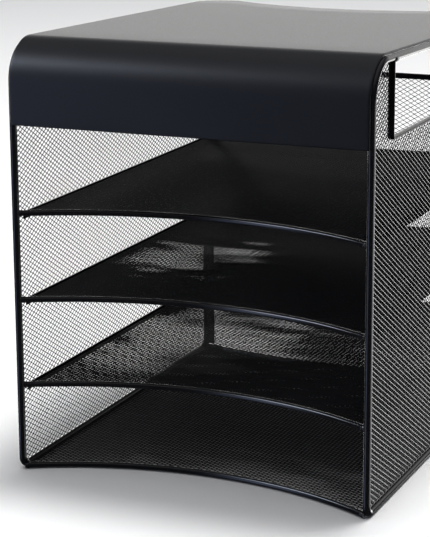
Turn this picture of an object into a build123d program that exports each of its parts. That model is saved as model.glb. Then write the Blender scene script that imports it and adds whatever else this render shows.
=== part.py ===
"""Desk organizer: four mesh trays in a bent-wire frame under a sheet-steel top cover.

Millimetres, +Z up. The trays open towards -Y. The origin is on the desk, under the
middle of the organizer.
"""
from build123d import *
from math import atan2, cos, degrees, radians, sqrt
import os

# ---------------------------------------------------------------- driving dimensions
WIDTH = 252.0               # over the two side frames
DEPTH = 322.0               # from the front of the cover to its rear ears
HEIGHT = 294.0              # top of the cover, where it is highest

FRAME_WIRE = 5.0            # side frame wire
CROSS_WIRE = 4.0            # wires across the front and rear of each tray
FRAME_TOP_DROP = 8.0        # the top rail is this much lower at the rear post
FRAME_FOOT_BEND = 7.0       # centreline bend radii of the side frame
FRAME_HOOD_BEND = 24.0
FRAME_REAR_BEND = 12.0

SHEET = 0.8                 # cover sheet, and the mesh panels' solid stand-ins
HEM = 4.0                   # width of the folded-under edge of the cover
COVER_REAR_OVERHANG = 1.5   # the ears reach this far past the rear posts
HOOD_EDGE_Z = 238.0         # lower edge of the hood
COVER_EAR_RADIUS = 22.0     # outer corner of each rear ear
COVER_BAY_RADIUS = 160.0    # hollow in the rear edge, between the ears
COVER_BAY_DEPTH = 31.0
COVER_BAY_BLEND = 20.0      # rounding between an ear and the hollow

FLOOR_Z = 2.5               # middle of the floor tray
SHELF_Z = 60.0              # middle of the lowest shelf
SHELF_PITCH = 59.2          # from one shelf to the next
FRONT_BAY = 33.0            # the front edge of a tray curves back by this much
REAR_BAY = 16.0             # the rear edge of a tray curves forward by this much
SHELF_FLANGE = 5.0          # folded down along each side of a shelf

SILL_Z = 239.4              # top of the sill strip of the side opening
STRIP_WIDTH = 4.4           # strips that line the side opening, across the panel
STRIP_SHEET = 1.2
OPENING_FRONT = 36.0        # from the front post to the opening's front strip
OPENING_REAR = 36.0         # from the rear post to the opening's rear strip
OPENING_CORNER = 3.0
CLIP_SHEET = 0.8            # strip ends, rolled under the top rail
CLIP_LENGTH = 4.0
CLIP_GAP = 1.0

REAR_RIM_Z = 237.0          # top of the rear panel
REAR_RIM_HEIGHT = 4.2
REAR_RIM_SHEET = 1.6

# ---------------------------------------------------------------- worked-out places
FRAME_R = FRAME_WIRE / 2
CROSS_R = CROSS_WIRE / 2
HEM_STACK = 2 * SHEET                                # sheet folded on itself
SIDE_X = WIDTH / 2 - FRAME_R                         # middle of a side frame
FRONT_Y = -DEPTH / 2 + HEM_STACK + FRAME_R           # middle of the front posts
REAR_Y = DEPTH / 2 - COVER_REAR_OVERHANG - FRAME_R   # middle of the rear posts
FOOT_Z = FRAME_R                                     # middle of the bottom rail
TOP_SLOPE = FRAME_TOP_DROP / (REAR_Y - FRONT_Y)
TOP_Z = HEIGHT - HEM_STACK - FRAME_R + TOP_SLOPE * FRAME_HOOD_BEND   # rail's line at the posts
TOP_ANGLE = degrees(atan2(FRAME_TOP_DROP, REAR_Y - FRONT_Y))
INNER_X = SIDE_X - FRAME_R                           # half the room between the frames
REAR_PANEL_Y = REAR_Y + CROSS_R + SHEET / 2          # middle of the rear panel
SHELF_NAMES = ["lower", "middle", "upper"]
SHELVES = {name: SHELF_Z + level * SHELF_PITCH for level, name in enumerate(SHELF_NAMES)}
SIDES = {"left": -1, "right": 1}


def save(shape, name):
    """Write one sub-part's STEP file."""
    shape.label = name
    export_step(shape, f"parts/{name}.step")


def round_wire(path, radius):
    """A round wire along a path."""
    section = Plane(origin=path @ 0, z_dir=path % 0) * Circle(radius)
    return sweep(section, path=path)


def top_line(y, above=0.0):
    """Height at y of the sloping top rail's middle, or of a line parallel above it."""
    return TOP_Z - TOP_SLOPE * (y - FRONT_Y) + above / cos(radians(TOP_ANGLE))


def frame_outline(x, inset=0.0):
    """Closed outline of a side frame, rounded at its four corners, in the plane at x."""
    front = FRONT_Y + inset
    rear = REAR_Y - inset
    foot = FOOT_Z + inset
    points = [
        (x, front, foot),
        (x, front, top_line(front, -inset)),
        (x, rear, top_line(rear, -inset)),
        (x, rear, foot),
    ]
    bends = [FRAME_FOOT_BEND, FRAME_HOOD_BEND, FRAME_REAR_BEND, FRAME_FOOT_BEND]
    radii = [bend - inset for bend in bends]
    return FilletPolyline(*points, radius=radii, close=True)


def side_frame(side):
    """One closed loop of wire: two posts, a bottom rail and a top rail."""
    outline = frame_outline(side * SIDE_X)
    rail = outline.edges().sort_by(Axis.Z)[0]
    section = Plane(origin=rail @ 0.5, z_dir=rail % 0.5) * Circle(FRAME_R)
    return sweep(section, path=outline)


FRAMES = {name: side_frame(side) for name, side in SIDES.items()}


def cross_wire(y, sagitta, z):
    """A tray's cross wire: an arc from post to post, coped to fit against both."""
    path = ThreePointArc((-SIDE_X, y, z), (0, y + sagitta, z), (SIDE_X, y, z))
    return round_wire(path, CROSS_R) - FRAMES["left"] - FRAMES["right"]


def tray(name, z, flange):
    """Save one tray: its cross wires, and its mesh sheet with a flange down each side."""
    front_wire = cross_wire(FRONT_Y, FRONT_BAY, z)
    rear_wire = cross_wire(REAR_Y, -REAR_BAY, z)
    outline = (
        ThreePointArc((-INNER_X, FRONT_Y), (0, FRONT_Y + FRONT_BAY), (INNER_X, FRONT_Y))
        + Line((INNER_X, FRONT_Y), (INNER_X, REAR_Y))
        + ThreePointArc((INNER_X, REAR_Y), (0, REAR_Y - REAR_BAY), (-INNER_X, REAR_Y))
        + Line((-INNER_X, REAR_Y), (-INNER_X, FRONT_Y))
    )
    mesh = Pos(0, 0, z - SHEET / 2) * extrude(make_face(outline), SHEET)
    mesh = mesh - front_wire - rear_wire
    mesh = mesh.solids().sort_by(SortBy.VOLUME)[-1]
    if flange:
        run = REAR_Y - FRONT_Y - 2 * FRAME_WIRE
        for side in SIDES.values():
            strip = Box(SHEET, run, flange, align=(Align.CENTER, Align.CENTER, Align.MAX))
            mesh = mesh + Pos(side * (INNER_X - SHEET / 2), (FRONT_Y + REAR_Y) / 2, z) * strip
    save(front_wire, f"{name}_front_wire")
    save(rear_wire, f"{name}_rear_wire")
    save(mesh, f"{name}_mesh")


def opening_box(x, width, grow=0.0):
    """The block that a side opening takes out of its panel, widened all round by grow."""
    y_low = FRONT_Y + OPENING_FRONT - grow
    y_high = REAR_Y - OPENING_REAR + grow
    z_low = SILL_Z - STRIP_SHEET - grow
    block = Box(width, y_high - y_low, HEIGHT, align=(Align.CENTER, Align.MIN, Align.MIN))
    corners = block.edges().filter_by(Axis.X).group_by(Axis.Z)[0]
    return Pos(x, y_low, z_low) * fillet(corners, OPENING_CORNER + grow)


def side_mesh(side):
    """A side panel of mesh inside its frame, cut away for the opening at the top."""
    x = side * SIDE_X
    face = make_face(frame_outline(x, FRAME_R))
    panel = extrude(face, SHEET / 2, dir=(1, 0, 0), both=True)
    return panel - opening_box(x, WIDTH / 4)


def opening_strip(side):
    """The strip that lines a side opening: down its front, along the sill and up its rear."""
    x = side * SIDE_X
    band = opening_box(x, STRIP_WIDTH) - opening_box(x, WIDTH / 4, -STRIP_SHEET)
    room = make_face(frame_outline(x, FRAME_R))
    return band & extrude(room, STRIP_WIDTH, dir=(1, 0, 0), both=True)


def strip_clips():
    """Strip ends rolled under the top rail, one at each upper corner of both openings."""
    reach = STRIP_SHEET + CLIP_GAP + CLIP_LENGTH / 2
    front = FRONT_Y + OPENING_FRONT + reach
    rear = REAR_Y - OPENING_REAR - reach
    outer = FRAME_R + CLIP_SHEET
    ring = Cylinder(outer, CLIP_LENGTH) - Cylinder(FRAME_R, CLIP_LENGTH)
    upper_half = Box(2 * outer, outer, CLIP_LENGTH, align=(Align.CENTER, Align.MIN, Align.CENTER))
    clip = ring - upper_half
    places = [(side * SIDE_X, y) for side in SIDES.values() for y in (front, rear)]
    return [Pos(x, y, top_line(y)) * Rot(90 - TOP_ANGLE, 0, 0) * clip for x, y in places]


def cover_profile(offset):
    """Side profile of a cover layer: up the hood, over the bend and back along the top."""
    front = FRONT_Y - FRAME_R - offset
    rear = DEPTH / 2
    points = [
        (0, front, HOOD_EDGE_Z),
        (0, front, top_line(front, FRAME_R + offset)),
        (0, rear, top_line(rear, FRAME_R + offset)),
    ]
    return FilletPolyline(*points, radius=FRAME_HOOD_BEND + FRAME_R + offset)


def bent_layer(inner, outer, half_width):
    """A layer of the bent cover between two offsets from the frame wire's surface."""
    low = cover_profile(inner)
    high = cover_profile(outer)
    ring = low + high + Line(low @ 0, high @ 0) + Line(low @ 1, high @ 1)
    return extrude(make_face(ring), half_width, dir=(1, 0, 0), both=True)


def cover_plan():
    """Plan of the cover: square at the front, two rounded ears and a hollow at the rear."""
    rear = DEPTH / 2
    bay_centre = rear - COVER_BAY_DEPTH + COVER_BAY_RADIUS
    half_mouth = sqrt(COVER_BAY_RADIUS ** 2 - (rear - bay_centre) ** 2)
    tall = 2 * HEIGHT                                # reaches from under the foot to over the top
    plate = Pos(0, 0, HEIGHT / 2) * Box(2 * SIDE_X, DEPTH, tall)
    plate = fillet(plate.edges().filter_by(Axis.Z).group_by(Axis.Y)[-1], COVER_EAR_RADIUS)
    plate = plate - Pos(0, bay_centre, HEIGHT / 2) * Cylinder(COVER_BAY_RADIUS, tall)
    uprights = plate.edges().filter_by(Axis.Z)
    tips = [edge for edge in uprights if abs(abs(edge.center().X) - half_mouth) < SHEET]
    return fillet(tips, COVER_BAY_BLEND)


def top_cover():
    """Bent sheet over the top and upper front, with a folded hem along its edges."""
    outer = bent_layer(SHEET, HEM_STACK, SIDE_X)
    inner = bent_layer(0, SHEET, SIDE_X)
    middle = Box(2 * (SIDE_X - HEM), 2 * DEPTH, 2 * HEIGHT)
    middle = Pos(0, 0, HOOD_EDGE_Z + HEM + HEIGHT) * middle
    return (outer + (inner - middle)) & cover_plan()


def rear_mesh():
    """The flat rear panel, between the rear posts and behind the trays, up to its rim."""
    height = REAR_RIM_Z - REAR_RIM_HEIGHT
    panel = Pos(0, REAR_PANEL_Y, height / 2) * Box(2 * INNER_X, SHEET, height)
    return panel - FRAMES["left"] - FRAMES["right"]


def rear_rim():
    """The folded strip along the top of the rear panel."""
    strip = Box(2 * INNER_X, REAR_RIM_SHEET, REAR_RIM_HEIGHT)
    return Pos(0, REAR_PANEL_Y - SHEET / 2, REAR_RIM_Z - REAR_RIM_HEIGHT / 2) * strip


def main():
    os.makedirs("parts", exist_ok=True)
    save(top_cover(), "top_cover")
    for name, side in SIDES.items():
        save(FRAMES[name], f"side_frame_{name}")
        save(side_mesh(side), f"side_mesh_{name}")
        save(opening_strip(side), f"opening_strip_{name}")
    save(Compound(children=strip_clips()), "strip_clips")
    tray("floor", FLOOR_Z, 0)
    for name, z in SHELVES.items():
        tray(name, z, SHELF_FLANGE)
    save(rear_mesh(), "rear_mesh")
    save(rear_rim(), "rear_rim")


main()
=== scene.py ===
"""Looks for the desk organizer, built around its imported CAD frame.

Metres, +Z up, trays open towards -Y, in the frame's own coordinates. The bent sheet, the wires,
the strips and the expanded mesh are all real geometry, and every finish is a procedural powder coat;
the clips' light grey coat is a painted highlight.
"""

import math

import bmesh
import bpy
from mathutils import Matrix, Vector, noise


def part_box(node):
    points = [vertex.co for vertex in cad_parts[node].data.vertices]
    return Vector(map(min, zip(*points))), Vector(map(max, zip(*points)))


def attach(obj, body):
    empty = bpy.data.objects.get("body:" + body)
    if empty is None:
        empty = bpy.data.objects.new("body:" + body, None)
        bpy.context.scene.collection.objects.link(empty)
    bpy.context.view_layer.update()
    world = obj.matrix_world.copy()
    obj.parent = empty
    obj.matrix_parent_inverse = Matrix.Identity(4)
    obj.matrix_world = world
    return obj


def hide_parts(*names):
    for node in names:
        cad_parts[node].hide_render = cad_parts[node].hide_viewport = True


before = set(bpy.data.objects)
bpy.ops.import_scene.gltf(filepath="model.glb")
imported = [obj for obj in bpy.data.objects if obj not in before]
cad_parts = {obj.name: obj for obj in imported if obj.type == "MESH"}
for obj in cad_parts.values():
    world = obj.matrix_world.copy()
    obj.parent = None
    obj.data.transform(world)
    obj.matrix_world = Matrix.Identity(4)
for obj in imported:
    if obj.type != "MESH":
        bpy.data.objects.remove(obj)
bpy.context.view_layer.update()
MM = 0.001

# ---------------------------------------------------------------- sizes read from the frame
frame_low, frame_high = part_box("side_frame_right")
cover_low, cover_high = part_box("top_cover")
front_low, front_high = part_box("floor_front_wire")
rear_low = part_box("floor_rear_wire")[0]
strip_low, strip_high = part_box("opening_strip_right")
rim_low, rim_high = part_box("rear_rim")
rear_mesh_low, rear_mesh_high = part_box("rear_mesh")

FRAME_R = (frame_high.x - frame_low.x) / 2
SIDE_X = (frame_high.x + frame_low.x) / 2
INNER_X = frame_low.x
FRONT_Y = frame_low.y + FRAME_R
REAR_Y = frame_high.y - FRAME_R
FOOT_Z = frame_low.z + FRAME_R
CROSS_R = (front_high.z - front_low.z) / 2
FRONT_BAY = front_high.y - CROSS_R - FRONT_Y
REAR_BAY = REAR_Y - rear_low.y - CROSS_R
HEM_STACK = FRONT_Y - FRAME_R - cover_low.y
TRAYS = ["floor", "lower", "middle", "upper"]
SIDES = {"left": -1, "right": 1}

# ---------------------------------------------------------------- shape values the boxes don't hold
TOP_DROP = 8.0 * MM          # the top rail is this much lower at the rear post
FOOT_BEND = 7.0 * MM         # centreline bend radii of the side frames
HOOD_BEND = 24.0 * MM
REAR_BEND = 12.0 * MM
EAR_RADIUS = 22.0 * MM       # rear corners of the cover
BAY_RADIUS = 160.0 * MM      # hollow in the cover's rear edge
BAY_DEPTH = 31.0 * MM
BAY_BLEND = 20.0 * MM
HEM = 4.0 * MM               # width of the cover's folded edge
HEM_NOSE = 0.5 * MM          # the fold's inner edge eases off over this width
HEM_NOSE_RISE = 0.15 * MM
STRIP_SHEET = 1.2 * MM       # strip that lines a side opening
STRIP_CORNER = 3.0 * MM
STRIP_EDGE = 0.35 * MM       # rounding of its edges
CLIP_SHEET = 0.8 * MM        # strip ends rolled under the top rail
CLIP_LENGTH = 4.0 * MM
CLIP_GAP = 1.0 * MM
CLIP_EDGE = 0.3 * MM
RIM_EDGE = 0.6 * MM          # rounding of the rear panel's folded strips
RIM_INTO_POST = 0.4 * MM
SIDE_STRIP = 4.8 * MM        # folded strip down each side of the rear panel
SIDE_STRIP_INTO_RIM = 0.5 * MM
FLANGE_SHEET = 0.8 * MM      # folded strip along each side of a shelf
FLANGE_LIP = 2.6 * MM
FLANGE_LIFT = 0.15 * MM      # the lip's top lies this far above the mesh
FLANGE_BEND = 0.7 * MM
FLANGE_EDGE = 0.24 * MM
FLANGE_GAP = 0.6 * MM        # room between a flange's end and the post's wire

MESH_LONG = 5.9 * MM         # one diamond of the expanded mesh, the long way and the short way
MESH_SHORT = 3.4 * MM
MESH_OPEN = 0.86             # a hole's share of its diamond, along each diagonal
MESH_SHEET = 0.38 * MM
MESH_TILT = 0.20 * MM        # the strands of most trays twist out of the sheet by this much
UPPER_TILT = 0.15 * MM       # those of the upper shelf twist by this much
CLEAR_TILT = 0.05 * MM       # and those in a cloudy see-through patch of each other tray by this much
CLEAR_PATCHES = {            # middle and reach of each patch, x and y
    "floor": (70 * MM, -128 * MM, 110 * MM, 45 * MM),
    "middle": (-66 * MM, 0 * MM, 60 * MM, 74 * MM),
    "lower": (-62 * MM, -25 * MM, 90 * MM, 140 * MM),
}
CLEAR_GAIN = 1.4             # how fully a patch's middle is clear
CLOUD_GAIN = 1.2             # how much the clouds add or take away
CLOUD_SIZE = (38 * MM, 16 * MM)
CLOUD_SLICE = 40             # noise units per metre of height, so that each tray has clouds of its own
SIDE_TILT = {"left": 0.04 * MM, "right": -0.11 * MM}
REAR_TILT = 0.18 * MM
MESH_INTO_WIRE = 1.4 * MM    # a side mesh's or the floor mesh's edges end this deep in the frames' wires
REAR_MESH_INSET = 0.3 * MM   # the rear mesh ends this far short of the side frames' middle lines
REAR_MESH_LIFT = 0.6 * MM
REAR_MESH_INTO_RIM = 1.0 * MM

ARC_STEP = math.radians(5)   # coarsest step along a bend
WIRE_SIDES = 24
CLIP_STEPS = 20              # steps round a clip
EAR_STEPS = 18               # steps along the cover's rear edge: an ear, its blend and half the hollow
BLEND_STEPS = 12
BAY_STEPS = 24
HOOD_STEPS = 6               # steps along the cover's sides: the hood, its bend and the top
BEND_STEPS = 26
TOP_STEPS = 10
HEM_STEPS = 8                # steps round the half round edge of the fold

SLOPE = TOP_DROP / (REAR_Y - FRONT_Y)
TOP_ANGLE = math.atan(SLOPE)
HOOD_CENTRE = Vector((FRONT_Y + HOOD_BEND, frame_high.z - FRAME_R - HOOD_BEND))


def top_line(y):
    """Height of the sloping top rail's middle line at y."""
    return HOOD_CENTRE.y + HOOD_BEND / math.cos(TOP_ANGLE) - SLOPE * (y - HOOD_CENTRE.x)


def tray_height(tray):
    """Height of the middle lines of a tray's cross wires."""
    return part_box(f"{tray}_front_wire")[0].z + CROSS_R


def bow(x, sagitta):
    """How far a tray's curved edge lies from the straight line between its ends, at x."""
    radius = (SIDE_X ** 2 + sagitta ** 2) / (2 * abs(sagitta))
    return math.copysign(abs(sagitta) - radius + math.sqrt(radius ** 2 - x ** 2), sagitta)


# ---------------------------------------------------------------- mesh building
class Shape:
    """Corners and faces gathered for one mesh."""

    def __init__(self):
        self.corners = []
        self.faces = []

    def add(self, corners, faces):
        first = len(self.corners)
        self.corners += [tuple(corner) for corner in corners]
        self.faces += [[first + index for index in face] for face in faces]
        return self


def piece(name, shape, material, nodes=(), sharp=35.0, smooth=True):
    """Makes one object of the organizer from a shape, riding on its one body."""
    mesh = bpy.data.meshes.new(name)
    mesh.from_pydata(shape.corners, [], shape.faces)
    if smooth:
        work = bmesh.new()
        work.from_mesh(mesh)
        bmesh.ops.recalc_face_normals(work, faces=work.faces)
        work.to_mesh(mesh)
        work.free()
        mesh.shade_smooth()
        mesh.set_sharp_from_angle(angle=math.radians(sharp))
    mesh.materials.append(material)
    made = bpy.data.objects.new(name, mesh)
    bpy.context.scene.collection.objects.link(made)
    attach(made, "root")
    if nodes:
        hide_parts(*nodes)
    return made


def rounded(corners, radii, closed=False):
    """Points along a flat outline with its corners rounded to the given radii."""
    points = []
    for index, (corner, radius) in enumerate(zip(corners, radii)):
        here = Vector(corner)
        ends = not closed and index in (0, len(corners) - 1)
        if ends or radius == 0:
            points.append(here)
            continue
        back = (Vector(corners[index - 1]) - here).normalized()
        ahead = (Vector(corners[(index + 1) % len(corners)]) - here).normalized()
        half = back.angle(ahead) / 2
        centre = here + (back + ahead).normalized() * radius / math.sin(half)
        start = here + back * radius / math.tan(half) - centre
        end = here + ahead * radius / math.tan(half) - centre
        angle = math.atan2(start.y, start.x)
        turn = (math.atan2(end.y, end.x) - angle + math.pi) % (2 * math.pi) - math.pi
        steps = max(2, math.ceil(abs(turn) / ARC_STEP))
        for step in range(steps + 1):
            at = angle + turn * step / steps
            points.append(centre + Vector((math.cos(at), math.sin(at))) * radius)
    return points


def circle(radius, sides=WIRE_SIDES):
    """A round section."""
    turns = [2 * math.pi * side / sides for side in range(sides)]
    return [(radius * math.cos(turn), radius * math.sin(turn)) for turn in turns]


def rounded_bar(width, height, radius, steps=4):
    """A rectangular section with rounded corners, width first."""
    points = []
    for quarter in range(4):
        sign_u = 1 if quarter in (0, 3) else -1
        sign_v = 1 if quarter in (0, 1) else -1
        for step in range(steps + 1):
            at = math.pi / 2 * (quarter + step / steps)
            points.append((
                sign_u * (width / 2 - radius) + radius * math.cos(at),
                sign_v * (height / 2 - radius) + radius * math.sin(at),
            ))
    return points


def sweep(path, section, normal, closed=False):
    """A section swept along a flat path.

    The section's first axis lies in the path's plane, and its second along normal."""
    normal = Vector(normal).normalized()
    path = [Vector(point) for point in path]
    count = len(path)
    size = len(section)
    corners = []
    for index, point in enumerate(path):
        last = path[index - 1] if closed or index else point
        following = path[(index + 1) % count] if closed or index < count - 1 else point
        before = (point - last).normalized() if point != last else (following - point).normalized()
        after = (following - point).normalized() if point != following else before
        along = (before + after).normalized()
        across = normal.cross(along) / along.dot(before)
        corners += [point + across * u + normal * v for u, v in section]
    faces = []
    for index in range(count if closed else count - 1):
        here = index * size
        there = (index + 1) % count * size
        for side in range(size):
            other = (side + 1) % size
            faces.append([here + side, there + side, there + other, here + other])
    if not closed:
        faces.append(list(range(size)))
        faces.append([(count - 1) * size + side for side in reversed(range(size))])
    return corners, faces


# ---------------------------------------------------------------- finishes
DRIFT_SCALE = 14.0           # noise units per metre of the slow drift in tone
NOISE_SPAN = (0.3, 0.7)      # where most of a noise's values lie
GLOSS_SPREAD = 0.04          # roughness varies this much either way
GRAIN_HEIGHT = 0.1 * MM


def powder_coat(name, dark, light, rough, grain, relief, level):
    """A powder coat: a fine grained skin, with a tone that drifts and a gloss that varies a little."""
    material = bpy.data.materials.new(name)
    material.use_nodes = True
    tree = material.node_tree
    shader = tree.nodes["Principled BSDF"]
    shader.inputs["Specular IOR Level"].default_value = level
    place = tree.nodes.new("ShaderNodeTexCoord")

    def noise_node(scale, detail):
        node = tree.nodes.new("ShaderNodeTexNoise")
        node.inputs["Scale"].default_value = scale
        node.inputs["Detail"].default_value = detail
        tree.links.new(place.outputs["Object"], node.inputs["Vector"])
        return node

    drift = noise_node(DRIFT_SCALE, detail=3.0)
    fine = noise_node(grain, detail=4.0)
    tone = tree.nodes.new("ShaderNodeValToRGB")
    for element, position, colour in zip(tone.color_ramp.elements, NOISE_SPAN, (dark, light)):
        element.position = position
        element.color = (*colour, 1)
    tree.links.new(drift.outputs["Fac"], tone.inputs["Fac"])
    tree.links.new(tone.outputs["Color"], shader.inputs["Base Color"])
    gloss = tree.nodes.new("ShaderNodeMapRange")
    gloss.inputs["From Min"].default_value = NOISE_SPAN[0]
    gloss.inputs["From Max"].default_value = NOISE_SPAN[1]
    gloss.inputs["To Min"].default_value = rough - GLOSS_SPREAD
    gloss.inputs["To Max"].default_value = rough + GLOSS_SPREAD
    tree.links.new(fine.outputs["Fac"], gloss.inputs["Value"])
    tree.links.new(gloss.outputs["Result"], shader.inputs["Roughness"])
    skin = tree.nodes.new("ShaderNodeBump")
    skin.inputs["Strength"].default_value = relief
    skin.inputs["Distance"].default_value = GRAIN_HEIGHT
    tree.links.new(fine.outputs["Fac"], skin.inputs["Height"])
    tree.links.new(skin.outputs["Normal"], shader.inputs["Normal"])
    return material


COVER_COAT = powder_coat(
    "cover_coat", dark=(0.003, 0.0032, 0.004), light=(0.005, 0.0052, 0.007),
    rough=0.38, grain=1100, relief=0.25, level=0.35,
)
WIRE_COAT = powder_coat(
    "wire_coat", dark=(0.003, 0.003, 0.004), light=(0.005, 0.005, 0.0065),
    rough=0.16, grain=1400, relief=0.2, level=0.45,
)
MESH_COAT = powder_coat(
    "mesh_coat", dark=(0.002, 0.002, 0.0025), light=(0.004, 0.004, 0.0045),
    rough=0.24, grain=1800, relief=0.2, level=0.5,
)
FLANGE_COAT = powder_coat(
    "flange_coat", dark=(0.001, 0.001, 0.0012), light=(0.003, 0.003, 0.0033),
    rough=0.60, grain=1400, relief=0.2, level=0.0,
)
STRIP_COAT = powder_coat(
    "strip_coat", dark=(0.002, 0.002, 0.0025), light=(0.004, 0.004, 0.005),
    rough=0.32, grain=1400, relief=0.2, level=0.12,
)
# The clips' light grey is a painted highlight: it stands in for bright rings on them that the lamps don't
# make.
CLIP_PAINTED_HIGHLIGHT = powder_coat(
    "clip_painted_highlight", dark=(0.14, 0.14, 0.155), light=(0.24, 0.24, 0.26),
    rough=0.30, grain=1400, relief=0.2, level=0.5,
)


# ---------------------------------------------------------------- wires
def frame_outline(x):
    """The closed middle line of a side frame."""
    corners = [
        (FRONT_Y, FOOT_Z),
        (FRONT_Y, top_line(FRONT_Y)),
        (REAR_Y, top_line(REAR_Y)),
        (REAR_Y, FOOT_Z),
    ]
    line = rounded(corners, [FOOT_BEND, HOOD_BEND, REAR_BEND, FOOT_BEND], closed=True)
    return [(x, point.x, point.y) for point in line]


def side_frame(name, side):
    """One closed loop of wire."""
    line = frame_outline(side * SIDE_X)
    shape = Shape().add(*sweep(line, circle(FRAME_R), (1, 0, 0), closed=True))
    piece(f"side_frame_{name}", shape, WIRE_COAT, [f"side_frame_{name}"])


def cross_line(y, sagitta, z, steps=56):
    """The middle line of a tray's cross wire, from post to post."""
    reach = SIDE_X - FRAME_R / 2
    places = [reach * (2 * step / steps - 1) for step in range(steps + 1)]
    return [(x, y + bow(x, sagitta), z) for x in places]


def cross_wire(name, y, sagitta, z):
    """A tray's front or rear wire."""
    shape = Shape().add(*sweep(cross_line(y, sagitta, z), circle(CROSS_R), (0, 0, 1)))
    piece(name, shape, WIRE_COAT, [name])


WELD_BLOBS = [               # distance from the post, height over the wire's middle, and radii in mm
    (0.4 * MM, 0.0 * MM, (2.3, 2.3, 2.2)),
    (5.2 * MM, 0.4 * MM, (0.9, 2.1, 2.1)),
    (7.5 * MM, 0.4 * MM, (0.8, 2.1, 2.1)),
    (9.8 * MM, 0.3 * MM, (0.7, 2.1, 2.1)),
]
WELD_UNEVEN = 0.16           # a blob swells and shrinks by this share of its radii
WELD_LUMPS = 1.7             # noise units per radius
WELD_SEED_STEP = 3.1         # noise units from one blob's noise to the next


def bead(centre, radii, seed, rings=9, sides=14):
    """A small uneven blob of weld metal."""
    shift = Vector((seed * WELD_SEED_STEP, 0, 0))
    corners = []
    for ring in range(rings + 1):
        tilt = math.pi * ring / rings
        for side in range(sides):
            turn = 2 * math.pi * side / sides
            level = math.sin(tilt)
            way = Vector((level * math.cos(turn), level * math.sin(turn), math.cos(tilt)))
            swell = 1 + WELD_UNEVEN * noise.noise(way * WELD_LUMPS + shift)
            corners.append([
                middle + radius * along * swell
                for middle, radius, along in zip(centre, radii, way)
            ])
    faces = []
    for ring in range(rings):
        for side in range(sides):
            here = ring * sides
            other = (side + 1) % sides
            faces.append([here + side, here + sides + side, here + sides + other, here + other])
    return corners, faces


def welds():
    """Weld fillets where the cross wires meet the posts, and lumps along the wires beside them."""
    shape = Shape()
    for level, tray in enumerate(TRAYS):
        z = tray_height(tray)
        for side in SIDES.values():
            for y, sagitta in ((FRONT_Y, FRONT_BAY), (REAR_Y, -REAR_BAY)):
                seed = level + 5 * side + 11 * (sagitta > 0)
                for away, lift, size in WELD_BLOBS:
                    x = SIDE_X - FRAME_R - away
                    centre = (side * x, y + bow(x, sagitta), z + lift)
                    shape.add(*bead(centre, [radius * MM for radius in size], seed + away / MM))
    piece("welds", shape, WIRE_COAT, sharp=60)


# ---------------------------------------------------------------- expanded mesh
def diamonds(low, high, twist):
    """A flat sheet of expanded mesh: at each junction four corners, and two strands to the right.

    Corners are (u, v, w), with the diamonds' long way along u. The strands' edges on the side of
    larger v are raised by twist(u, v), and their other edges are lowered as much."""
    half_long = MESH_LONG / 2
    half_short = MESH_SHORT / 2
    bond_u = (1 - MESH_OPEN) * half_long
    bond_v = (1 - MESH_OPEN) * half_short
    corners = []
    junctions = {}
    for column in range(math.floor(low[0] / half_long) - 1, math.ceil(high[0] / half_long) + 2):
        for row in range(math.floor(low[1] / half_short) - 1, math.ceil(high[1] / half_short) + 2):
            if (column + row) % 2 == 0:
                u = column * half_long
                v = row * half_short
                lift = twist(u, v)
                junctions[column, row] = len(corners)
                corners += [
                    (u + bond_u, v, 0.0),
                    (u, v + bond_v, lift),
                    (u - bond_u, v, 0.0),
                    (u, v - bond_v, -lift),
                ]
    faces = []
    for (column, row), east in junctions.items():
        faces.append([east, east + 1, east + 2, east + 3])
        above = junctions.get((column + 1, row + 1))
        below = junctions.get((column + 1, row - 1))
        if above is not None:
            faces.append([east, above + 3, above + 2, east + 1])
        if below is not None:
            faces.append([east + 3, below + 2, below + 1, east])
    return corners, faces


def cut(corners, faces, inside):
    """Keeps the part of a flat sheet where inside(u, v) is above zero."""
    depth = [inside(u, v) for u, v, w in corners]
    corners = list(corners)
    crossings = {}

    def crossing(a, b):
        key = (min(a, b), max(a, b))
        if key not in crossings:
            share = depth[a] / (depth[a] - depth[b])
            crossings[key] = len(corners)
            corners.append(tuple(p + (q - p) * share for p, q in zip(corners[a], corners[b])))
        return crossings[key]

    kept = []
    for face in faces:
        within = [depth[corner] > 0 for corner in face]
        if all(within):
            kept.append(face)
        elif any(within):
            part = []
            for a, b in zip(face, face[1:] + face[:1]):
                if depth[a] > 0:
                    part.append(a)
                if (depth[a] > 0) != (depth[b] > 0):
                    part.append(crossing(a, b))
            kept.append(part)
    return corners, kept


def thicken(corners, faces):
    """Gives a flat sheet its thickness, with walls round every hole and edge."""
    used = sorted({corner for face in faces for corner in face})
    number = {corner: index for index, corner in enumerate(used)}
    faces = [[number[corner] for corner in face] for face in faces]
    count = len(used)
    half = MESH_SHEET / 2
    upper = [(corners[c][0], corners[c][1], corners[c][2] + half) for c in used]
    lower = [(corners[c][0], corners[c][1], corners[c][2] - half) for c in used]
    edges = {edge for face in faces for edge in zip(face, face[1:] + face[:1])}
    under = [[corner + count for corner in reversed(face)] for face in faces]
    walls = [[a, a + count, b + count, b] for a, b in edges if (b, a) not in edges]
    return upper + lower, faces + under + sorted(walls)


def mesh_panel(name, low, high, twist, inside, place):
    """One panel of expanded mesh, cut to its outline and put in place by place(u, v, w)."""
    corners, faces = thicken(*cut(*diamonds(low, high, twist), inside))
    shape = Shape().add([place(*corner) for corner in corners], faces)
    piece(name, shape, MESH_COAT, [name], smooth=False)


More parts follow.
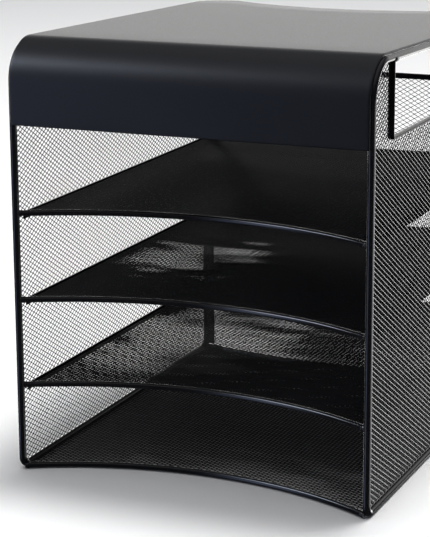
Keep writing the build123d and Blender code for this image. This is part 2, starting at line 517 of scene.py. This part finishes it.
def tray_mesh(tray):
    """A tray's mesh, with curved front and rear edges that end on its cross wires."""
    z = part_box(f"{tray}_mesh")[1].z - MESH_SHEET
    half_width = INNER_X + MESH_INTO_WIRE if tray == "floor" else INNER_X - FLANGE_SHEET / 2

    def inside(x, y):
        front = y - FRONT_Y - bow(min(abs(x), SIDE_X), FRONT_BAY)
        rear = REAR_Y + bow(min(abs(x), SIDE_X), -REAR_BAY) - y
        return min(half_width - abs(x), front, rear)

    def twist(x, y):
        if tray not in CLEAR_PATCHES:
            return UPPER_TILT
        middle_x, middle_y, reach_x, reach_y = CLEAR_PATCHES[tray]
        cloud = noise.noise(Vector((x / CLOUD_SIZE[0], y / CLOUD_SIZE[1], CLOUD_SLICE * z)))
        away = math.hypot((x - middle_x) / reach_x, (y - middle_y) / reach_y)
        clear = min(1.0, max(0.0, CLEAR_GAIN * (1 - away) + CLOUD_GAIN * cloud))
        return MESH_TILT + (CLEAR_TILT - MESH_TILT) * clear

    mesh_panel(
        f"{tray}_mesh", (-half_width, FRONT_Y), (half_width, REAR_Y), twist, inside,
        lambda u, v, w: (u, v, z + w),
    )


BENDS = [                    # centre, the way out along y and z, and radius of each bend of a side frame
    (FRONT_Y + FOOT_BEND, FOOT_Z + FOOT_BEND, -1, -1, FOOT_BEND),
    (FRONT_Y + HOOD_BEND, HOOD_CENTRE.y, -1, 1, HOOD_BEND),
    (REAR_Y - REAR_BEND, top_line(REAR_Y - REAR_BEND) - REAR_BEND, 1, 1, REAR_BEND),
    (REAR_Y - FOOT_BEND, FOOT_Z + FOOT_BEND, 1, -1, FOOT_BEND),
]


def frame_depth(y, z):
    """How far inside the middle line of a side frame a point lies."""
    depth = min(y - FRONT_Y, REAR_Y - y, z - FOOT_Z, top_line(y) - z)
    for centre_y, centre_z, way_y, way_z, radius in BENDS:
        out_y = (y - centre_y) * way_y
        out_z = (z - centre_z) * way_z
        if out_y > 0 and out_z > 0:
            depth = min(depth, radius - math.hypot(out_y, out_z))
    return depth


def side_mesh(name, side):
    """A side panel inside its frame, cut away at the top for the opening."""

    def inside(y, z):
        beside = max(strip_low.y + STRIP_SHEET / 2 - y, y - strip_high.y + STRIP_SHEET / 2)
        below = strip_low.z + STRIP_SHEET / 2 - z
        return min(frame_depth(y, z) - FRAME_R + MESH_INTO_WIRE, max(beside, below))

    mesh_panel(
        f"side_mesh_{name}", (FRONT_Y, FOOT_Z), (REAR_Y, frame_high.z),
        lambda u, v: SIDE_TILT[name], inside, lambda u, v, w: (side * SIDE_X + w, u, v),
    )


def rear_mesh():
    """The rear panel, from the desk up into its rim."""
    y = (rear_mesh_low.y + rear_mesh_high.y) / 2
    half_width = SIDE_X - REAR_MESH_INSET
    base = rear_mesh_low.z + REAR_MESH_LIFT
    top = rim_low.z + REAR_MESH_INTO_RIM

    def inside(x, z):
        return min(half_width - abs(x), z - base, top - z)

    mesh_panel(
        "rear_mesh", (-half_width, base), (half_width, top),
        lambda u, v: REAR_TILT, inside, lambda u, v, w: (u, y - w, v),
    )


def shelf_flanges(tray):
    """The strip folded over each side edge of a shelf: a lip on the mesh and a flange down."""
    low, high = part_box(f"{tray}_mesh")
    half = FLANGE_SHEET / 2
    lip = high.z + FLANGE_LIFT - half
    near = FRONT_Y + 2 * FRAME_R + FLANGE_GAP
    far = REAR_Y - 2 * FRAME_R - FLANGE_GAP
    section = rounded_bar(FLANGE_SHEET, far - near, FLANGE_EDGE, 3)
    shape = Shape()
    for side in SIDES.values():
        outer = side * (INNER_X - half)
        corners = [(outer, low.z + half), (outer, lip), (outer - side * FLANGE_LIP, lip)]
        line = rounded(corners, [0, FLANGE_BEND, 0])
        path = [(point.x, (near + far) / 2, point.y) for point in line]
        shape.add(*sweep(path, section, (0, 1, 0)))
    piece(f"{tray}_flanges", shape, FLANGE_COAT, sharp=40)


# ---------------------------------------------------------------- strips, clips and rim
def opening_strip(name, side):
    """The flat strip that lines a side opening, down its front, along the sill and up its rear."""
    half = STRIP_SHEET / 2
    front = strip_low.y + half
    rear = strip_high.y - half
    sill = strip_low.z + half
    corners = [
        (front, top_line(front) - FRAME_R + half),
        (front, sill),
        (rear, sill),
        (rear, top_line(rear) - FRAME_R + half),
    ]
    bend = STRIP_CORNER - half
    line = rounded(corners, [0, bend, bend, 0])
    width = strip_high.x - strip_low.x
    path = [(side * SIDE_X, point.x, point.y) for point in line]
    shape = Shape().add(*sweep(path, rounded_bar(STRIP_SHEET, width, STRIP_EDGE), (1, 0, 0)))
    node = f"opening_strip_{name}"
    piece(node, shape, STRIP_COAT, [node])


def strip_clips():
    """The strip ends, rolled under the top rail beside each upper corner of the openings; their light grey
    coat is a painted highlight.
    """
    radius = FRAME_R + CLIP_SHEET / 2
    section = rounded_bar(CLIP_SHEET, CLIP_LENGTH, CLIP_EDGE)
    turns = [math.pi * (1 + step / CLIP_STEPS) for step in range(CLIP_STEPS + 1)]
    across = Vector((1, 0, 0))
    along = Vector((0, math.cos(TOP_ANGLE), -math.sin(TOP_ANGLE)))
    up = Vector((0, math.sin(TOP_ANGLE), math.cos(TOP_ANGLE)))
    reach = STRIP_SHEET + CLIP_GAP + CLIP_LENGTH / 2
    shape = Shape()
    for side in SIDES.values():
        for y in (strip_low.y + reach, strip_high.y - reach):
            centre = Vector((side * SIDE_X, y, top_line(y)))
            path = [
                centre + across * radius * math.cos(turn) + up * radius * math.sin(turn)
                for turn in turns
            ]
            shape.add(*sweep(path, section, along))
    piece("strip_clips", shape, CLIP_PAINTED_HIGHLIGHT, ["strip_clips"])


def rear_rim():
    """The folded strip along the top of the rear panel."""
    y = (rim_low.y + rim_high.y) / 2
    z = (rim_low.z + rim_high.z) / 2
    section = rounded_bar(rim_high.z - rim_low.z, rim_high.y - rim_low.y, RIM_EDGE)
    path = [(rim_low.x - RIM_INTO_POST, y, z), (0, y, z), (rim_high.x + RIM_INTO_POST, y, z)]
    shape = Shape().add(*sweep(path, section, (0, 1, 0)))
    piece("rear_rim", shape, STRIP_COAT, ["rear_rim"])


def rear_side_strips():
    """The folded strips down both sides of the rear panel, beside the posts."""
    y = (rim_low.y + rim_high.y) / 2
    section = rounded_bar(SIDE_STRIP, rim_high.y - rim_low.y, RIM_EDGE)
    bottom = rear_low.z + 2 * CROSS_R
    top = rim_low.z + SIDE_STRIP_INTO_RIM
    shape = Shape()
    for side in SIDES.values():
        x = side * (INNER_X + FRAME_R / 2 - SIDE_STRIP / 2)
        shape.add(*sweep([(x, y, bottom), (x, y, top)], section, (0, 1, 0)))
    piece("rear_side_strips", shape, STRIP_COAT)


# ---------------------------------------------------------------- top cover
BEND_R = HOOD_BEND + FRAME_R                     # bend of the cover's underside
HOOD_RUN = HOOD_CENTRE.y - cover_low.z           # flat of the hood, below the bend
BEND_RUN = HOOD_RUN + BEND_R * (math.pi / 2 + TOP_ANGLE)


def cover_point(u, s, h):
    """A point of the bent cover: u across, s along it from the hood's edge, h up from its underside."""
    slope_normal = Vector((math.sin(TOP_ANGLE), math.cos(TOP_ANGLE)))
    if s <= HOOD_RUN:
        return (u, HOOD_CENTRE.x - BEND_R - h, cover_low.z + s)
    if s <= BEND_RUN:
        turn = math.pi - (s - HOOD_RUN) / BEND_R
        at = HOOD_CENTRE + Vector((math.cos(turn), math.sin(turn))) * (BEND_R + h)
        return (u, at.x, at.y)
    slope = Vector((math.cos(TOP_ANGLE), -math.sin(TOP_ANGLE)))
    at = HOOD_CENTRE + slope_normal * (BEND_R + h) + slope * (s - BEND_RUN)
    return (u, at.x, at.y)


def flat_run(y):
    """Where along the flattened cover the top reaches y."""
    start = HOOD_CENTRE.x + BEND_R * math.sin(TOP_ANGLE)
    return BEND_RUN + (y - start) / math.cos(TOP_ANGLE)


def arc(centre, radius, first, last, steps):
    """Points along an arc between two angles."""
    x, y = centre
    turns = [first + (last - first) * step / steps for step in range(steps + 1)]
    return [(x + radius * math.cos(turn), y + radius * math.sin(turn)) for turn in turns]


def rear_edge():
    """The cover's rear outline from the right side to the left: ear, hollow, ear."""
    rear = cover_high.y
    bay_centre = rear - BAY_DEPTH + BAY_RADIUS
    blend_y = rear - BAY_BLEND
    blend_x = math.sqrt((BAY_RADIUS + BAY_BLEND) ** 2 - (bay_centre - blend_y) ** 2)
    ear = arc((cover_high.x - EAR_RADIUS, rear - EAR_RADIUS), EAR_RADIUS, 0, math.pi / 2, EAR_STEPS)
    toward_bay = math.atan2(bay_centre - blend_y, -blend_x)
    blend = arc((blend_x, blend_y), BAY_BLEND, math.pi / 2, toward_bay, BLEND_STEPS)
    hollow = arc((0, bay_centre), BAY_RADIUS, toward_bay - math.pi, -math.pi / 2, BAY_STEPS)
    half = ear + blend + hollow[1:]
    return half + [(-x, y) for x, y in reversed(half[:-1])]


def cover_outline():
    """The flattened cover's edges as lists of (u, s): bottom, right, rear and left, going round."""
    rear = [(x, flat_run(y)) for x, y in rear_edge()]
    steps = len(rear) - 1
    last = rear[0][1]
    sides = [HOOD_RUN * step / HOOD_STEPS for step in range(HOOD_STEPS)]
    sides += [HOOD_RUN + (BEND_RUN - HOOD_RUN) * step / BEND_STEPS for step in range(BEND_STEPS)]
    sides += [BEND_RUN + (last - BEND_RUN) * step / TOP_STEPS for step in range(TOP_STEPS + 1)]
    right = [(cover_high.x, s) for s in sides]
    left = [(-cover_high.x, s) for s in reversed(sides)]
    bottom = [(cover_high.x * (2 * step / steps - 1), 0.0) for step in range(steps + 1)]
    return [bottom, right, rear, left]


def inset(loop, distance):
    """A closed loop moved inwards, mitred at its corners."""
    moved = []
    for index, (u, s) in enumerate(loop):
        here = Vector((u, s))
        before = (here - Vector(loop[index - 1])).normalized()
        after = (Vector(loop[(index + 1) % len(loop)]) - here).normalized()
        inward_before = Vector((-before.y, before.x))
        inward_after = Vector((-after.y, after.x))
        inward = (inward_before + inward_after).normalized()
        moved.append(here + inward * distance / inward.dot(inward_after))
    return moved


def patch(loop, sizes):
    """A grid filled in between the four edges of a loop; rows stay level over the bend."""
    across, along = sizes
    bottom = loop[:across + 1]
    right = loop[across:across + along + 1]
    rear = list(reversed(loop[across + along:2 * across + along + 1]))
    left = list(reversed(loop[2 * across + along:] + loop[:1]))
    rows = []
    for j in range(along + 1):
        blend = max(0.0, (right[j].y - BEND_RUN) / (right[along].y - BEND_RUN))
        row = []
        for i in range(across + 1):
            share = (bottom[i].x - bottom[0].x) / (bottom[across].x - bottom[0].x)
            level = left[j].lerp(right[j], share)
            low = bottom[0].lerp(bottom[across], share)
            high = rear[0].lerp(rear[across], share)
            row.append(level + (bottom[i] - low) * (1 - blend) + (rear[i] - high) * blend)
        rows.append(row)
    return rows


def top_cover():
    """The bent sheet with its edge folded under all round; the fold's edge is half round."""
    bottom, right, rear, left = cover_outline()
    across = len(bottom) - 1
    along = len(right) - 1
    outline = bottom[:-1] + right[:-1] + rear[:-1] + left[:-1]
    round_edge = HEM_STACK / 2
    turns = [math.pi * (0.5 + step / HEM_STEPS) for step in range(HEM_STEPS + 1)]
    rings = [(round_edge * (1 + math.cos(turn)), round_edge * (1 + math.sin(turn))) for turn in turns]
    rings += [(HEM - HEM_NOSE, 0.0), (HEM, HEM_NOSE_RISE), (HEM, round_edge)]
    count = len(outline)
    corners = []
    faces = []
    for distance, height in rings:
        corners += [cover_point(point.x, point.y, height) for point in inset(outline, distance)]
    for ring in range(len(rings) - 1):
        for index in range(count):
            other = (index + 1) % count
            here = ring * count
            faces.append([here + index, here + other, here + count + other, here + count + index])
    for ring, height in ((0, HEM_STACK), (len(rings) - 1, round_edge)):
        loop = inset(outline, rings[ring][0])
        grid = patch(loop, (across, along))
        index_of = {}
        edge = (
            [(i, 0) for i in range(across)] + [(across, j) for j in range(along)]
            + [(across - i, along) for i in range(across)] + [(0, along - j) for j in range(along)]
        )
        for index, place in enumerate(edge):
            index_of[place] = ring * count + index
        for j in range(1, along):
            for i in range(1, across):
                index_of[i, j] = len(corners)
                corners.append(cover_point(grid[j][i].x, grid[j][i].y, height))
        for j in range(along):
            for i in range(across):
                quad = [index_of[i, j], index_of[i + 1, j], index_of[i + 1, j + 1], index_of[i, j + 1]]
                faces.append(quad)
    piece("top_cover", Shape().add(corners, faces), COVER_COAT, ["top_cover"], sharp=50)


# ---------------------------------------------------------------- room, light and camera
FLOOR_REACH = 3.2            # half of the floor's side
FLOOR_CELLS = 12
FLOOR_COLOUR = (0.86, 0.86, 0.86, 1)


def floor():
    """A plain pale floor, which reaches past the edges of the picture."""
    places = [FLOOR_REACH * (2 * cell / FLOOR_CELLS - 1) for cell in range(FLOOR_CELLS + 1)]
    corners = [(x, y, 0.0) for y in places for x in places]
    faces = []
    for row in range(FLOOR_CELLS):
        for column in range(FLOOR_CELLS):
            first = row * len(places) + column
            above = first + len(places)
            faces.append([first, first + 1, above + 1, above])
    mesh = bpy.data.meshes.new("floor")
    mesh.from_pydata(corners, [], faces)
    material = bpy.data.materials.new("floor_paint")
    material.use_nodes = True
    shader = material.node_tree.nodes["Principled BSDF"]
    shader.inputs["Base Color"].default_value = FLOOR_COLOUR
    shader.inputs["Roughness"].default_value = 0.8
    shader.inputs["Specular IOR Level"].default_value = 0.1
    mesh.materials.append(material)
    made = bpy.data.objects.new("floor", mesh)
    bpy.context.scene.collection.objects.link(made)
    made.visible_glossy = False


def area_light(name, place, aim, size, power, colour=(1, 1, 1), glossy=True, diffuse=True):
    """A soft rectangular lamp that faces a point."""
    lamp = bpy.data.lights.new(name, "AREA")
    lamp.shape = "RECTANGLE"
    lamp.size, lamp.size_y = size
    lamp.energy = power
    lamp.color = colour
    made = bpy.data.objects.new(name, lamp)
    made.location = place
    made.rotation_mode = "QUATERNION"
    made.rotation_quaternion = (Vector(aim) - Vector(place)).to_track_quat("-Z", "Y")
    made.visible_glossy = glossy
    made.visible_diffuse = diffuse
    bpy.context.scene.collection.objects.link(made)


def lights():
    """Two lamps above, and a bluish one at the front left that shows only in the gloss."""
    area_light("key_light", place=(0.24, 0.44, 3.4), aim=(0, 0, 0), size=(0.8, 0.8), power=90, glossy=False)
    area_light("top_light", place=(0, -0.4, 4.0), aim=(0, 0, 0), size=(5.0, 5.0), power=86, glossy=False)
    area_light(
        "left_softbox", place=(-1.5, -1.0, 1.45), aim=(0, -0.1, 0.25), size=(1.1, 0.8), power=26,
        colour=(0.76, 0.84, 1.0), diffuse=False,
    )


# The studio's bright parts are told apart by direction alone. In each limit of a zone, light rises
# from nothing to its full strength as a direction's part along the axis goes from one value to the next.
BEHIND = ("Y", 0.05, 0.65)
BACKDROP_ZONE = [("Z", -0.02, 0.16), ("Z", 0.48, 0.26), BEHIND, ("X", 0.60, 0.30)]
FAR_FLOOR_ZONE = [("Z", -0.42, -0.27), ("Z", 0.16, -0.02), BEHIND, ("X", 0.35, 0.17)]
RIGHT_FLOOR_ZONE = [("X", 0.45, 0.65), ("Y", 0.0, 0.30), ("Z", -0.45, -0.30), ("Z", -0.08, -0.20)]
FRONT_LEFT_ZONE = [
    ("X", -0.36, -0.60), ("X", -0.84, -0.68), ("Y", -0.20, -0.70), ("Z", -0.80, -0.50), ("Z", 0.60, 0.10),
]
ZENITH_ZONE = [("Z", 0.5, 0.85)]
STUDIO = [                   # strength, colour and zone of each bright part
    (1.08, (1.0, 0.99, 0.975), BACKDROP_ZONE),      # white behind, which the sheet and wires mirror
    (4.3, (1.0, 0.99, 0.975), FAR_FLOOR_ZONE),      # the white floor behind, which the mesh mirrors
    (3.0, (0.96, 0.98, 1.0), RIGHT_FLOOR_ZONE),     # the white floor to the right
    (1.9, (0.55, 0.66, 1.0), FRONT_LEFT_ZONE),      # a bluish glow at the front left
    (0.35, (1.0, 1.0, 1.0), ZENITH_ZONE),           # a faint light overhead
]
DIM_COLOUR = (0.05, 0.052, 0.058)                   # everywhere


def studio_world():
    """A studio that is white behind the object, bluish at its front left and dim elsewhere.

    The camera itself sees plain white."""
    world = bpy.data.worlds.new("studio")
    bpy.context.scene.world = world
    world.use_nodes = True
    tree = world.node_tree
    place = tree.nodes.new("ShaderNodeTexCoord")
    parts = tree.nodes.new("ShaderNodeSeparateXYZ")
    tree.links.new(place.outputs["Generated"], parts.inputs["Vector"])

    def rise(axis, start, end):
        """From 0 to 1 as a direction's part along an axis goes from start to end."""
        node = tree.nodes.new("ShaderNodeMapRange")
        node.inputs["From Min"].default_value = start
        node.inputs["From Max"].default_value = end
        tree.links.new(parts.outputs[axis], node.inputs["Value"])
        return node.outputs["Result"]

    def within(zone):
        """The product of a zone's limits."""
        result = rise(*zone[0])
        for limit in zone[1:]:
            node = tree.nodes.new("ShaderNodeMath")
            node.operation = "MULTIPLY"
            tree.links.new(result, node.inputs[0])
            tree.links.new(rise(*limit), node.inputs[1])
            result = node.outputs["Value"]
        return result

    light = None
    for strength, colour, zone in STUDIO:
        node = tree.nodes.new("ShaderNodeVectorMath")
        node.operation = "MULTIPLY_ADD"
        tree.links.new(within(zone), node.inputs[0])
        node.inputs[1].default_value = [strength * part for part in colour]
        if light is None:
            node.inputs[2].default_value = DIM_COLOUR
        else:
            tree.links.new(light, node.inputs[2])
        light = node.outputs["Vector"]
    sight = tree.nodes.new("ShaderNodeLightPath")
    seen = tree.nodes.new("ShaderNodeMix")
    seen.data_type = "RGBA"
    tree.links.new(sight.outputs["Is Camera Ray"], seen.inputs["Factor"])
    tree.links.new(light, seen.inputs["A"])
    seen.inputs["B"].default_value = (1, 1, 1, 1)
    tree.links.new(seen.outputs["Result"], tree.nodes["Background"].inputs["Color"])


CAMERA_PLACE = (0.5039, -1.2785, 0.4605)
CAMERA_YAW = math.radians(23.349)
CAMERA_PITCH = math.radians(14.068)
CAMERA_ROLL = math.radians(0.278)
CAMERA_LENS = 132.745
CAMERA_SENSOR = 36.0
CAMERA_CLIP_END = 60.0


def camera():
    """The camera, to the right of the front and a little above the top."""
    forward = Vector((
        -math.sin(CAMERA_YAW) * math.cos(CAMERA_PITCH),
        math.cos(CAMERA_YAW) * math.cos(CAMERA_PITCH),
        -math.sin(CAMERA_PITCH),
    ))
    level = Vector((math.cos(CAMERA_YAW), math.sin(CAMERA_YAW), 0))
    below = forward.cross(level)
    right = level * math.cos(CAMERA_ROLL) + below * math.sin(CAMERA_ROLL)
    down = below * math.cos(CAMERA_ROLL) - level * math.sin(CAMERA_ROLL)
    data = bpy.data.cameras.new("camera")
    data.sensor_width = CAMERA_SENSOR
    data.lens = CAMERA_LENS
    data.clip_end = CAMERA_CLIP_END
    made = bpy.data.objects.new("camera", data)
    turn = Matrix((right, -down, -forward)).transposed()
    made.matrix_world = Matrix.Translation(CAMERA_PLACE) @ turn.to_4x4()
    bpy.context.scene.collection.objects.link(made)
    bpy.context.scene.camera = made


def build():
    """The whole scene."""
    for name, side in SIDES.items():
        side_frame(name, side)
        side_mesh(name, side)
        opening_strip(name, side)
    for tray in TRAYS:
        cross_wire(f"{tray}_front_wire", FRONT_Y, FRONT_BAY, tray_height(tray))
        cross_wire(f"{tray}_rear_wire", REAR_Y, -REAR_BAY, tray_height(tray))
        tray_mesh(tray)
        if tray != "floor":
            shelf_flanges(tray)
    rear_mesh()
    rear_rim()
    rear_side_strips()
    strip_clips()
    welds()
    top_cover()
    floor()
    studio_world()
    lights()
    camera()
    bpy.context.scene.view_settings.view_transform = "Standard"


build()
